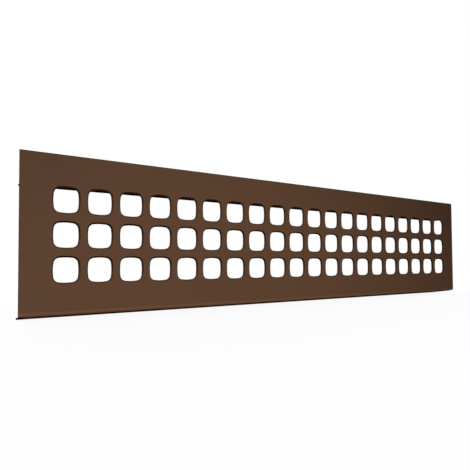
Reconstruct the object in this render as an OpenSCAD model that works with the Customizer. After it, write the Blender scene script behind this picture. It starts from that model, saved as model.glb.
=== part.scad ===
// Ventilation grille: a thin coated aluminium profile with a field of punched, cushion-shaped holes.
// The face looks along -Y, its back lies in the plane Y = 0 and two legs reach back from it along +Y.
// The field of holes is centred on X = 0, Z = 0.

/* [Face] */
// Length of the face
face_w = 474; // [200:1:900]
// Height of the face, down to the lowest point of its rounded lower edge
face_h = 101.5; // [96:0.5:180]
// Thickness of the face
face_t = 1.2; // [1:0.1:2]
// Outer radius of the rounded lower edge
lower_edge_r = 3; // [2.5:0.1:5]
// Radius of the front corner along the upper edge
upper_edge_r = 0.5; // [0.2:0.1:0.8]

/* [Holes] */
// Distance from one hole to the next, along and across
hole_pitch = 22; // [20:0.5:25]
// Width and height of a hole across the middle of its sides
hole_side = 16.3; // [12:0.1:17]
// Radius of a hole's corners
hole_corner_r = 4; // [2.5:0.1:5]
// Radius of the slow outward curve of a hole's sides
hole_side_r = 32; // [24:1:80]
// Number of rows of holes
hole_rows = 3; // [1:1:4]
// Plain length kept free of holes at each end of the face, at the least
end_margin = 19; // [10:0.5:40]

/* [Legs] */
// Thickness of both legs
leg_t = 1.2; // [1:0.1:2]
// Reach of the upper leg behind the face
upper_leg_depth = 21; // [8:0.5:40]
// Reach of the lower leg behind the face
lower_leg_depth = 24; // [8:0.5:40]
// Angle by which the lower leg spreads downwards
lower_leg_splay = 7.5; // [2:0.5:12]
// Distance from the upper row of holes to the underside of the upper leg
upper_leg_gap = 1.7; // [1.6:0.1:5]
// Length cut away from both legs at each end of the face
leg_cut = 4; // [1:0.5:20]
// Radius of the fillets where the upper leg meets the face
root_r = 0.8; // [0.3:0.1:1.5]

/* [Hidden] */
$fn = 96;

face_top = face_h / 2;
half_side = hole_side / 2;
top_row_z = (hole_rows - 1) / 2 * hole_pitch;
upper_leg_z = top_row_z + half_side + upper_leg_gap;
hole_cols = floor((face_w - 2 * end_margin - hole_side) / hole_pitch) + 1;

// Centre of the rounded lower edge, and the straight length of the lower leg beyond it
edge_y = lower_edge_r - face_t;
edge_z = lower_edge_r - face_top;
lower_leg_run = (lower_leg_depth - edge_y) / cos(lower_leg_splay) + lower_edge_r * tan(lower_leg_splay);

// How far a hole's corner circles pass through its side curves, so that they meet in clean crossings
corner_pass = 0.005;
// Centre of a hole's corner circle, which all but touches both side curves from within,
// and the two distances from the hole's middle at which it comes nearest to them
side_c = hole_side_r - half_side;
blend_r = hole_side_r - hole_corner_r + corner_pass;
corner_c = (sqrt(2 * blend_r * blend_r - side_c * side_c) - side_c) / 2;
touch_near = corner_c * hole_side_r / blend_r;
touch_far = (corner_c + side_c) * hole_side_r / blend_r - side_c;
quarters = [0, 90, 180, 270];

// How far a cutting shape passes beyond what it cuts
over = 1;
// Longer than any stretch of the section
beyond = face_h + lower_leg_depth + upper_leg_depth;

module hole_outline() {
    intersection() {
        rotate(45)
            square(sqrt(2) * (touch_near + touch_far), center = true);
        intersection_for(a = quarters)
            rotate(a)
                translate([-side_c, 0])
                    circle(hole_side_r);
    }
    for (a = quarters)
        rotate(a)
            translate([corner_c, corner_c])
                circle(hole_corner_r);
}

module hole_field() {
    for (col = [0 : hole_cols - 1], row = [0 : hole_rows - 1])
        translate([
            (col - (hole_cols - 1) / 2) * hole_pitch,
            over,
            (row - (hole_rows - 1) / 2) * hole_pitch
        ])
            rotate([90, 0, 0])
                linear_extrude(face_t + 2 * over)
                    hole_outline();
}

// What a radius leaves over in a square corner at the origin
module corner_waste(r) {
    difference() {
        square(r);
        translate([r, r])
            circle(r);
    }
}

// The sections are drawn with Y to the right and Z upwards.
// A filled turn from a straight stretch going up to one going back and slightly down
module filled_turn(r, leg_r, up, back) {
    circle(r);
    translate([-r, 0])
        square([back, up]);
    rotate(-lower_leg_splay)
        translate([0, -leg_r])
            square([back, leg_r + up]);
}

// The face, its rounded lower edge and the lower leg
module face_section() {
    difference() {
        translate([edge_y, edge_z])
            difference() {
                filled_turn(lower_edge_r, lower_edge_r, face_top - edge_z, lower_leg_run);
                filled_turn(edge_y, lower_edge_r - leg_t, beyond, beyond);
            }
        translate([-face_t, face_top])
            mirror([0, 1])
                corner_waste(upper_edge_r);
    }
}

module upper_leg_section() {
    translate([-face_t / 2, upper_leg_z])
        square([upper_leg_depth + face_t / 2, leg_t]);
    translate([0, upper_leg_z + leg_t])
        corner_waste(root_r);
    translate([0, upper_leg_z])
        mirror([0, 1])
            corner_waste(root_r);
}

// The section drawn out along X
module profile() {
    rotate([90, 0, 90])
        translate([0, 0, -face_w / 2])
            linear_extrude(face_w) {
                face_section();
                upper_leg_section();
            }
}

// Everything behind the face at one end
module end_cut() {
    translate([face_w / 2 - leg_cut, 0, -beyond])
        cube([leg_cut + over, beyond, 2 * beyond]);
}

module grille() {
    color([0.357, 0.251, 0.18])
        difference() {
            profile();
            hole_field();
            end_cut();
            mirror([1, 0, 0])
                end_cut();
        }
}

grille();
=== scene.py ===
import math

import bmesh
import bpy
from mathutils import Matrix, Vector


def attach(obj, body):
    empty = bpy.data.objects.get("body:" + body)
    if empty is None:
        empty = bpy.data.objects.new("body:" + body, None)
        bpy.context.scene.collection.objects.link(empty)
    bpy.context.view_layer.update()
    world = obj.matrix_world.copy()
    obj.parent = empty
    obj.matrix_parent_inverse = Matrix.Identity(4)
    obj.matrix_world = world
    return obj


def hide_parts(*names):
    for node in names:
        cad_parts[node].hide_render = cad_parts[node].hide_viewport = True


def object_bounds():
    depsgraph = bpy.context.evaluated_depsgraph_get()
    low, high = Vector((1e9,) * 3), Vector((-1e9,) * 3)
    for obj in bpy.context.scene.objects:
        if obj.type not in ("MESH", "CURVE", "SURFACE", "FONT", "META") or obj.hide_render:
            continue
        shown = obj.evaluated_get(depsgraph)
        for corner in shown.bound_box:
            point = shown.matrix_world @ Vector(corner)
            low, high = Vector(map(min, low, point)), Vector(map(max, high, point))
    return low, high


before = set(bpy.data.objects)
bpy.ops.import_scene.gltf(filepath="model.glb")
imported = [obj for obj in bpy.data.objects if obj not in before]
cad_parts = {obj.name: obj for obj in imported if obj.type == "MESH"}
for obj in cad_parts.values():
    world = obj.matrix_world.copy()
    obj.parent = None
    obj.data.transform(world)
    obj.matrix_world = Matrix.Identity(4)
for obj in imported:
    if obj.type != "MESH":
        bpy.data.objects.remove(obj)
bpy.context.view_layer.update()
print("frame loaded, nodes:", ", ".join(sorted(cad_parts)))

mm = 0.001  # sizes of the grille are in millimetres, and its mesh is scaled to metres at the end

face = {
    "halfLength": 237.0,
    "top": 50.75,
    "bottom": -50.75,
    "thickness": 1.2,
    "topRound": 0.5,  # front corner along the upper edge
    "edgeRound": 3.0,  # outer radius of the rounded lower edge
    "burr": 0.15,  # softened corners of the sawn ends and of the upper edge at the back
    "topSteps": 5,
    "edgeSteps": 6,
    "burrSteps": 3,
}

holes = {
    "pitch": 22.0,
    "columns": 20,
    "rows": 3,
    "side": 16.3,
    "cornerRound": 4.0,
    "sideRound": 32.0,
    "cornerSteps": 8,
    "sideSteps": 4,
    "wallTilt": 62.0,  # degrees between the face and the drawn-in wall of a hole
    "narrowing": 0.25,  # how far the coated wall's narrowest place stands inside the punched outline
    "frontRound": 0.9,
    "frontSteps": 5,
    "backRound": 0.12,
    "backSteps": 3,
}

legs = {
    "thickness": 1.2,
    "halfLength": 233.0,
    "upperUnderside": 31.85,
    "upperReach": 21.0,
    "rootRound": 0.8,
    "lowerReach": 24.0,
    "splay": 7.5,  # degrees downwards
    "tipRound": 0.3,
    "rootSteps": 5,
    "tipSteps": 3,
    "innerTurnSteps": 10,  # where the lower leg leaves the rounded edge
    "outerTurnSteps": 4,
}


def arc(centre, radius, start, end, steps):
    # points of an arc, angles in degrees
    turns = [math.radians(start + (end - start) * i / steps) for i in range(steps + 1)]
    return [(centre[0] + radius * math.cos(t), centre[1] + radius * math.sin(t)) for t in turns]


# The next four give stretches of the section, as (Y backwards, Z up)

def topSection():
    # over the upper edge, from the front plane to the back plane
    t, top, r, b = face["thickness"], face["top"], face["topRound"], face["burr"]
    front = arc((r - t, top - r), r, 180, 90, face["topSteps"])
    return front + arc((-b, top - b), b, 90, 0, face["burrSteps"])


edgeCentre = (face["edgeRound"] - face["thickness"], face["bottom"] + face["edgeRound"])
# the angle at which the rounded edge meets the back plane
edgeCutAngle = 180 + math.degrees(math.acos(edgeCentre[0] / face["edgeRound"]))


def edgeSection():
    # the rounded edge in front of the back plane, from the back plane up to the front plane
    return arc(edgeCentre, face["edgeRound"], edgeCutAngle, 180, face["edgeSteps"])


def lowerLegSection():
    # inner turn, upper side, tip, underside and outer turn as far as the back plane
    splay, outer, tip = legs["splay"], face["edgeRound"], legs["tipRound"]
    down = 270 - splay
    along = Vector((math.cos(math.radians(-splay)), math.sin(math.radians(-splay))))
    away = Vector((math.cos(math.radians(down)), math.sin(math.radians(down))))
    run = (legs["lowerReach"] - edgeCentre[0] - outer * away[0]) / along[0]
    middle = Vector(edgeCentre) + along * (run - tip)
    upperTip = middle + away * (outer - legs["thickness"] + tip)
    lowerTip = middle + away * (outer - tip)
    return (
        arc(edgeCentre, outer - legs["thickness"], 180, down, legs["innerTurnSteps"])
        + arc(upperTip, tip, 90 - splay, -splay, legs["tipSteps"])
        + arc(lowerTip, tip, -splay, -90 - splay, legs["tipSteps"])
        + arc(edgeCentre, outer, down, edgeCutAngle, legs["outerTurnSteps"])
    )


def upperLegSection():
    # root, top side, tip, underside and root again
    low = legs["upperUnderside"]
    high = low + legs["thickness"]
    r, tip, reach = legs["rootRound"], legs["tipRound"], legs["upperReach"]
    return (
        arc((r, high + r), r, 180, 270, legs["rootSteps"])
        + arc((reach - tip, high - tip), tip, 90, 0, legs["tipSteps"])
        + arc((reach - tip, low + tip), tip, 0, -90, legs["tipSteps"])
        + arc((r, low - r), r, 90, 180, legs["rootSteps"])
    )


def edgeChain(bm, points, x, closed=False):
    # edges from point to point of a section at x
    verts = [bm.verts.new((x, y, z)) for y, z in points]
    pairs = list(zip(verts, verts[1:])) + ([(verts[-1], verts[0])] if closed else [])
    return [bm.edges.new(pair) for pair in pairs]


def vertsOf(geom):
    return [g for g in geom if isinstance(g, bmesh.types.BMVert)]


def sweep(bm, points, start, end):
    # a stretch of the section drawn out along X
    edges = edgeChain(bm, points, start)
    drawn = bmesh.ops.extrude_edge_only(bm, edges=edges)["geom"]
    bmesh.ops.translate(bm, verts=vertsOf(drawn), vec=(end - start, 0, 0))


def capEnd(bm, points, x, rounding=0):
    # closes a section at x; the rounding passes outwards from there
    edges = edgeChain(bm, points, x, closed=True)
    cap = bmesh.ops.contextual_create(bm, geom=edges)["faces"]
    cap[0].normal_update()
    if cap[0].normal.x * x < 0:
        bmesh.ops.reverse_faces(bm, faces=cap)
    steps = face["burrSteps"] if rounding else 0
    for i in range(steps):
        before, after = (math.radians(90 * k / steps) for k in (i, i + 1))
        bmesh.ops.inset_region(
            bm, faces=cap, use_even_offset=True, use_boundary=True,
            thickness=rounding * (math.cos(before) - math.cos(after)),
            depth=rounding * (math.sin(after) - math.sin(before)),
        )


def holeOutline(offset):
    # tangent arcs of the cushion shape, grown by offset, from the middle of one side all round
    half, side, tight = holes["side"] / 2, holes["sideRound"], holes["cornerRound"]
    blend, back = side - tight, side - half
    corner = (math.sqrt(2 * blend * blend - back * back) - back) / 2
    turn = math.degrees(math.asin(corner / blend))
    halfSide = holes["sideSteps"] // 2
    quarter = arc((-back, 0), side + offset, 0, turn, halfSide)
    quarter += arc((corner, corner), tight + offset, turn, 90 - turn, holes["cornerSteps"])[1:]
    quarter += arc((0, -back), side + offset, 90 - turn, 90, halfSide)[1:-1]
    outline = []
    for q in range(4):
        spin = Matrix.Rotation(math.radians(90 * q), 2)
        outline += [spin @ Vector(p) for p in quarter]
    return outline


def holeStations():
    # (offset from the outline, Y), from the front plane down the drawn-in wall to the back plane
    t, front, back = face["thickness"], holes["frontRound"], holes["backRound"]
    tilt = math.radians(holes["wallTilt"])
    backOffset = back - holes["narrowing"]
    frontOffset = backOffset + ((t - front - back) * math.cos(tilt) + front - back) / math.sin(tilt)
    facing = 270 - holes["wallTilt"]
    frontTurn = arc((frontOffset, front - t), front, 270, facing, holes["frontSteps"])
    backTurn = arc((backOffset, -back), back, facing, 90, holes["backSteps"])
    return frontTurn + backTurn


def punchHoles(bm):
    # one hole's wall, then a copy at every place of the field
    rings = []
    for offset, y in holeStations():
        outline = holeOutline(offset)
        ring = bmesh.ops.create_circle(bm, segments=len(outline), radius=1)["verts"]
        for vert, (x, z) in zip(ring, outline):
            vert.co = (x, y, z)
        rings.append([e for e in bm.edges if e.verts[0] in ring and e.verts[1] in ring])
    for ring, following in zip(rings, rings[1:]):
        bmesh.ops.bridge_loops(bm, edges=ring + following)
    wall = bm.verts[:] + bm.edges[:] + bm.faces[:]
    columns, rows, pitch = holes["columns"], holes["rows"], holes["pitch"]
    for column in range(columns):
        for row in range(rows):
            copy = bmesh.ops.duplicate(bm, geom=wall)["geom"]
            place = (pitch * (column - (columns - 1) / 2), 0, pitch * (row - (rows - 1) / 2))
            bmesh.ops.translate(bm, verts=vertsOf(copy), vec=place)
    bmesh.ops.delete(bm, geom=vertsOf(wall), context="VERTS")


meshing = {
    "mergeWithin": 0.001,  # mm between points that are one
    "planeWithin": 0.0001,  # mm off a plane that a point may lie
    "flatFrom": 0.99999,  # faces whose normal has this much or more of one axis are shaded flat
    "largeFace": 500.0,  # square mm, and so are faces of this size or more
}


def fillPlane(bm, y):
    # the flat web between the holes, from every open edge that lies in the plane
    near = meshing["planeWithin"]
    rim = [e for e in bm.edges if e.is_boundary and all(abs(v.co.y - y) < near for v in e.verts)]
    outwards = (0, -1 if y < 0 else 1, 0)
    bmesh.ops.triangle_fill(bm, use_beauty=True, use_dissolve=False, edges=rim, normal=outwards)


def makeGrille():
    bm = bmesh.new()
    punchHoles(bm)
    endX = face["halfLength"] - face["burr"]
    legX = legs["halfLength"]
    sweep(bm, topSection(), -endX, endX)
    sweep(bm, upperLegSection(), -legX, legX)
    sweep(bm, lowerLegSection() + edgeSection()[1:], -legX, legX)
    for way in (-1, 1):
        sweep(bm, edgeSection(), way * legX, way * endX)
        capEnd(bm, edgeSection() + topSection(), way * endX, face["burr"])
        capEnd(bm, upperLegSection(), way * legX)
        capEnd(bm, lowerLegSection(), way * legX)
    bmesh.ops.remove_doubles(bm, verts=bm.verts, dist=meshing["mergeWithin"])
    fillPlane(bm, -face["thickness"])
    fillPlane(bm, 0)
    bmesh.ops.recalc_face_normals(bm, faces=bm.faces)
    for f in bm.faces:
        askew = max(abs(part) for part in f.normal) < meshing["flatFrom"]
        f.smooth = askew and f.calc_area() < meshing["largeFace"]
    openEdges = sum(len(e.link_faces) != 2 for e in bm.edges)
    bmesh.ops.scale(bm, vec=(mm, mm, mm), verts=bm.verts)
    mesh = bpy.data.meshes.new("ventGrille")
    bm.to_mesh(mesh)
    bm.free()
    piece = bpy.data.objects.new("ventGrille", mesh)
    bpy.context.scene.collection.objects.link(piece)
    print("grille made:", len(mesh.polygons), "faces,", openEdges, "open edges")
    return piece


class Wire:
    # a socket in a material's node tree that takes part in sums and products
    def __init__(self, tree, socket):
        self.tree = tree
        self.socket = socket

    def node(self, kind, settings=None, inputs=None, output=0):
        # any node: its settings first, then the values or wires of its sockets
        made = self.tree.nodes.new(kind)
        for name, value in (settings or {}).items():
            setattr(made, name, value)
        for name, value in (inputs or {}).items():
            if isinstance(value, Wire):
                self.tree.links.new(value.socket, made.inputs[name])
            else:
                made.inputs[name].default_value = value
        return Wire(self.tree, made.outputs[output])

    def maths(self, operation, first, second, third=0.0):
        return self.node("ShaderNodeMath", {"operation": operation}, {0: first, 1: second, 2: third})

    def __add__(self, other):
        return self.maths("ADD", self, other)

    def __radd__(self, other):
        return self.maths("ADD", other, self)

    def __sub__(self, other):
        return self.maths("SUBTRACT", self, other)

    def __rsub__(self, other):
        return self.maths("SUBTRACT", other, self)

    def __mul__(self, other):
        return self.maths("MULTIPLY", self, other)

    def __rmul__(self, other):
        return self.maths("MULTIPLY", other, self)

    def ramp(self, start, end):
        # 0 at start and 1 at end, straight between them
        return self.node("ShaderNodeMapRange", None, {"Value": self, "From Min": start, "From Max": end})

    def mixColours(self, low, high):
        # this wire is the share of high
        return self.node("ShaderNodeMix", {"data_type": "RGBA"}, {0: self, 6: low, 7: high}, output=2)


def newMaterial(name, shaderValues):
    material = bpy.data.materials.new(name)
    material.use_nodes = True
    tree = material.node_tree
    shader = tree.nodes["Principled BSDF"]
    for socket, value in shaderValues.items():
        shader.inputs[socket].default_value = value
    coordinates = tree.nodes.new("ShaderNodeTexCoord")
    return material, shader, Wire(tree, coordinates.outputs["Object"])


coat = {
    "paleColour": (0.113, 0.0555, 0.0298, 1),
    "darkColour": (0.096, 0.0470, 0.0248, 1),
    "cloud": 22.0,  # waves of its slow unevenness per metre
    "cloudDetail": 3.0,
    "cloudShare": 0.7,  # of the unevenness in colour, the rest is the skin's
    "grain": 1400.0,  # waves of its fine skin per metre
    "grainDetail": 2.0,
    "grainRoughness": 0.55,
    "grainDepth": 0.02,  # mm
    "grainStrength": 0.6,
    "gloss": 0.0,  # of the body of the coat, under the film
    "roughness": 0.5,
    "roughSpread": 0.12,  # how far the skin changes it
    "satin": 0.11,  # weight of the clear film on the face, which the walls and legs lack
    "satinRoughness": 0.6,
    "paintedWallShade": 0.8,  # painted shade: share of its colour that the coat keeps on a hole's lower wall
    "upperWallPaintedShade": 0.08,  # painted shade on its upper wall, darker under the upper rim
    "upperShadeFrom": -7.0,  # mm over a hole's middle, where the painted upper shade starts
    "upperShadeFull": 7.5,
    "topRowPaintedShade": 0.33,  # the same painted shade in the upper row, lighter there since the leg behind sends light back
    "rowBlend": 1.0,  # mm of height over which the painted wall shade starts, and changes to the upper row's
    "legPaintedShade": 0.12,  # painted shade: share of its colour that the coat keeps under the upper leg
    "legShadeReach": 0.3,  # mm over its underside, as far as that goes
    "rimDepth": 0.015,  # mm behind the face, over which the painted wall shade comes in
    "rubbed": 1.6,  # painted highlight: how much paler the rounded lower edge is painted
    "highlightReach": 0.8,  # mm over which the painted highlight fades out upwards, and half of that downwards
    "highlightDepth": 0.2,  # mm in front of the face's back, over which the painted highlight comes in
    "underShade": 0.12,  # painted shade: share of its colour that the coat keeps under the edge
    "underShadeReach": 1.5,  # mm behind the face's back, as far as the painted shade goes
    "endPaintedShade": 0.12,  # painted shade: share of its colour that the coat keeps at the sawn ends of the legs
    "endReach": 1.6,  # mm of a leg's length, over which that comes in
}


def paintedWallShade(depth, height):
    # painted shade in the holes and on the outer edges, darker under the upper rims
    t, rim, halfPitch, blend = face["thickness"], coat["rimDepth"], holes["pitch"] / 2, coat["rowBlend"]
    edgeTop = face["bottom"] + face["edgeRound"]
    aboveEdge = height.ramp(edgeTop * mm, (edgeTop + blend) * mm)
    inWall = aboveEdge * depth.ramp(-t * mm, (rim - t) * mm) * depth.ramp(0, -rim * mm)
    overMiddle = height.maths("WRAP", height, halfPitch * mm, -halfPitch * mm)
    upperShare = overMiddle.ramp(coat["upperShadeFrom"] * mm, coat["upperShadeFull"] * mm)
    inTopRow = height.ramp(halfPitch * mm, (halfPitch + blend) * mm)
    upperShade = coat["upperWallPaintedShade"] + (coat["topRowPaintedShade"] - coat["upperWallPaintedShade"]) * inTopRow
    return 1 - inWall * ((1 - coat["paintedWallShade"]) + (coat["paintedWallShade"] - upperShade) * upperShare)


def edgeHighlightAndShade(depth, height):
    # painted highlight on the front of the rounded lower edge, painted shade underneath
    low, reach = face["bottom"], coat["highlightReach"]
    edgeTop = low + face["edgeRound"]
    upFromLow = height.ramp(low * mm, (low + reach / 2) * mm)
    inFront = depth.ramp(0, -coat["highlightDepth"] * mm)
    rubbed = height.ramp((edgeTop + reach / 2) * mm, (edgeTop - reach) * mm) * upFromLow * inFront
    shadowedUnder = (1 - upFromLow) * depth.ramp(coat["underShadeReach"] * mm, 0)
    return (1 + (coat["rubbed"] - 1) * rubbed) * (1 - (1 - coat["underShade"]) * shadowedUnder)


def legPaintedShade(depth, height):
    # painted shade under the upper leg
    low, reach = legs["upperUnderside"], coat["legShadeReach"]
    overRoot = height.ramp((low - legs["rootRound"]) * mm, low * mm)
    under = overRoot * height.ramp((low + reach) * mm, low * mm) * depth.ramp(0, reach * mm)
    return 1 - (1 - coat["legPaintedShade"]) * under


def endPaintedShade(along, depth):
    # painted shade on the legs' sawn ends
    end, reach = legs["halfLength"], coat["endReach"]
    atEnd = along.maths("ABSOLUTE", along, 0.0).ramp((end - reach) * mm, end * mm)
    return 1 - (1 - coat["endPaintedShade"]) * atEnd * depth.ramp(0, reach * mm)


def makeCoat():
    fixed = {"Specular IOR Level": coat["gloss"], "Coat Roughness": coat["satinRoughness"]}
    material, shader, place = newMaterial("brownCoat", fixed)
    tree = place.tree
    cloud = place.node(
        "ShaderNodeTexNoise", None,
        {"Vector": place, "Scale": coat["cloud"], "Detail": coat["cloudDetail"]},
    )
    skin = place.node(
        "ShaderNodeTexNoise", None,
        {
            "Vector": place, "Scale": coat["grain"],
            "Detail": coat["grainDetail"], "Roughness": coat["grainRoughness"],
        },
    )
    uneven = cloud * coat["cloudShare"] + skin * (1 - coat["cloudShare"])
    colour = uneven.mixColours(coat["darkColour"], coat["paleColour"])
    along, depth, height = (
        place.node("ShaderNodeSeparateXYZ", None, {"Vector": place}, output=axis) for axis in range(3)
    )
    # painted shade and painted highlight, multiplied into the coat's colour
    paintedShadeAndHighlight = paintedWallShade(depth, height) * edgeHighlightAndShade(depth, height)
    paintedShadeAndHighlight = paintedShadeAndHighlight * legPaintedShade(depth, height) * endPaintedShade(along, depth)
    colour = colour.node("ShaderNodeVectorMath", {"operation": "SCALE"}, {0: colour, "Scale": paintedShadeAndHighlight})
    tree.links.new(colour.socket, shader.inputs["Base Color"])
    rough = coat["roughness"] - coat["roughSpread"] / 2 + coat["roughSpread"] * skin
    tree.links.new(rough.socket, shader.inputs["Roughness"])
    onFace = depth.ramp((coat["rimDepth"] - face["thickness"]) * mm, -face["thickness"] * mm)
    satin = onFace * coat["satin"]
    tree.links.new(satin.socket, shader.inputs["Coat Weight"])
    bump = place.node(
        "ShaderNodeBump", None,
        {"Strength": coat["grainStrength"], "Distance": coat["grainDepth"] * mm, "Height": skin},
    )
    tree.links.new(bump.socket, shader.inputs["Normal"])
    print("material made:", material.name)
    return material


studio = {
    "floorSize": 6.0,  # m
    "paleFloor": (0.85, 0.85, 0.85, 1),  # as the camera sees it
    "dimFloor": (0.3, 0.3, 0.3, 1),  # as it lights the grille
    "floorRoughness": 0.9,
    "floorGloss": 0.1,
    "whiteNear": 0.93,  # share of plain white seen near the grille, the rest shows light and shadow
    "fadeStart": 0.4,  # m from the grille, from here on the floor fades into the white background
    "fadeEnd": 1.6,
    "worldStrength": 0.09,  # as it lights the grille, the camera sees plain white
}

keyLight = {
    "place": (-0.37, -1.16, 0.3),  # m, in front and to the left
    "target": (-0.08, 0.0, -0.215),
    "power": 54.0,  # W
    "radius": 0.15,
    "cone": 41.0,  # degrees, narrow enough to leave the right end darker
    "blend": 0.75,
}

backLight = {
    "place": (-0.3, 1.15, 0.75),
    "target": (0.0, 0.0, 0.0),
    "power": 22.0,
    "size": 0.9,
}

endLight = {
    "place": (1.1, 0.35, 0.4),
    "target": (0.1, 0.0, 0.0),
    "power": 9.0,
    "size": 0.6,
}


def seenAsBackground(tree):
    # 1 for the rays that see the background: from the camera, and by way of gloss or glass
    rays = tree.nodes.new("ShaderNodeLightPath").outputs
    camera = Wire(tree, rays["Is Camera Ray"])
    gloss = Wire(tree, rays["Is Glossy Ray"])
    glass = Wire(tree, rays["Is Transmission Ray"])
    return camera + gloss + glass


def makeFloorMaterial():
    fixed = {"Roughness": studio["floorRoughness"], "Specular IOR Level": studio["floorGloss"]}
    material, shader, place = newMaterial("paleFloor", fixed)
    tree = place.tree
    seen = seenAsBackground(tree)
    colour = seen.mixColours(studio["dimFloor"], studio["paleFloor"])
    tree.links.new(colour.socket, shader.inputs["Base Color"])
    distance = place.node("ShaderNodeVectorMath", {"operation": "LENGTH"}, {0: place}, output=1)
    far = distance.ramp(studio["fadeStart"], studio["fadeEnd"])
    white = tree.nodes.new("ShaderNodeEmission")
    share = seen * (studio["whiteNear"] + (1 - studio["whiteNear"]) * far)
    mix = share.node(
        "ShaderNodeMixShader", None,
        {0: share, 1: Wire(tree, shader.outputs["BSDF"]), 2: Wire(tree, white.outputs["Emission"])},
    )
    tree.links.new(mix.socket, tree.nodes["Material Output"].inputs["Surface"])
    return material


def makeFloor():
    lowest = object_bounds()[0].z
    bm = bmesh.new()
    bmesh.ops.create_grid(bm, x_segments=1, y_segments=1, size=studio["floorSize"])
    bmesh.ops.translate(bm, verts=bm.verts, vec=(0, 0, lowest))
    mesh = bpy.data.meshes.new("studioFloor")
    bm.to_mesh(mesh)
    bm.free()
    mesh.materials.append(makeFloorMaterial())
    floor = bpy.data.objects.new("studioFloor", mesh)
    bpy.context.scene.collection.objects.link(floor)
    print("floor at", round(lowest / mm, 2), "mm")


def makeWorld():
    world = bpy.data.worlds.new("studioWorld")
    bpy.context.scene.world = world
    world.use_nodes = True
    tree = world.node_tree
    background = tree.nodes["Background"]
    background.inputs["Color"].default_value = (1, 1, 1, 1)
    strength = seenAsBackground(tree) * (1 - studio["worldStrength"]) + studio["worldStrength"]
    tree.links.new(strength.socket, background.inputs["Strength"])
    print("world made")


def hangLamp(name, light, values):
    light.energy = values["power"]
    lamp = bpy.data.objects.new(name, light)
    lamp.location = values["place"]
    aim = Vector(values["target"]) - lamp.location
    lamp.rotation_euler = aim.to_track_quat("-Z", "Y").to_euler()
    bpy.context.scene.collection.objects.link(lamp)
    print(name, "hung")


def makeLamps():
    key = bpy.data.lights.new("keyLight", "SPOT")
    key.shadow_soft_size = keyLight["radius"]
    key.spot_size = math.radians(keyLight["cone"])
    key.spot_blend = keyLight["blend"]
    hangLamp("keyLight", key, keyLight)
    for name, values in (("backLight", backLight), ("endLight", endLight)):
        soft = bpy.data.lights.new(name, "AREA")
        soft.shape = "SQUARE"
        soft.size = values["size"]
        hangLamp(name, soft, values)


view = {
    "place": (-0.30352, -0.31017, -0.01938),
    "yaw": 36.147,  # degrees from straight ahead towards +X
    "pitch": 2.023,
    "roll": -0.328,
    "focalPixels": 485.99,
    "principal": (235.0, 247.72),  # pixels from the left and the top
    "imageSide": 470,
    "sensorWidth": 36.0,  # mm
    "nearest": 0.01,  # m, nothing closer is seen
}


def makeCamera():
    yaw, pitch, roll = (math.radians(view[k]) for k in ("yaw", "pitch", "roll"))
    ahead = Vector((math.sin(yaw) * math.cos(pitch), math.cos(yaw) * math.cos(pitch), math.sin(pitch)))
    level = Vector((math.cos(yaw), -math.sin(yaw), 0))
    upright = level.cross(ahead)
    right = math.cos(roll) * level + math.sin(roll) * upright
    up = math.cos(roll) * upright - math.sin(roll) * level
    data = bpy.data.cameras.new("studioCamera")
    side, middle = view["imageSide"], view["principal"]
    data.sensor_width = view["sensorWidth"]
    data.lens = view["focalPixels"] * view["sensorWidth"] / side
    data.shift_x = (side / 2 - middle[0]) / side
    data.shift_y = (middle[1] - side / 2) / side
    data.clip_start = view["nearest"]
    camera = bpy.data.objects.new("studioCamera", data)
    turn = Matrix((right, up, -ahead)).transposed().to_4x4()
    camera.matrix_world = Matrix.Translation(view["place"]) @ turn
    bpy.context.scene.collection.objects.link(camera)
    bpy.context.scene.camera = camera
    print("camera made")


grille = makeGrille()
grille.data.materials.append(makeCoat())
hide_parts("grille")
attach(grille, "root")

makeFloor()
makeWorld()
makeLamps()
makeCamera()
bpy.context.scene.view_settings.view_transform = "Standard"
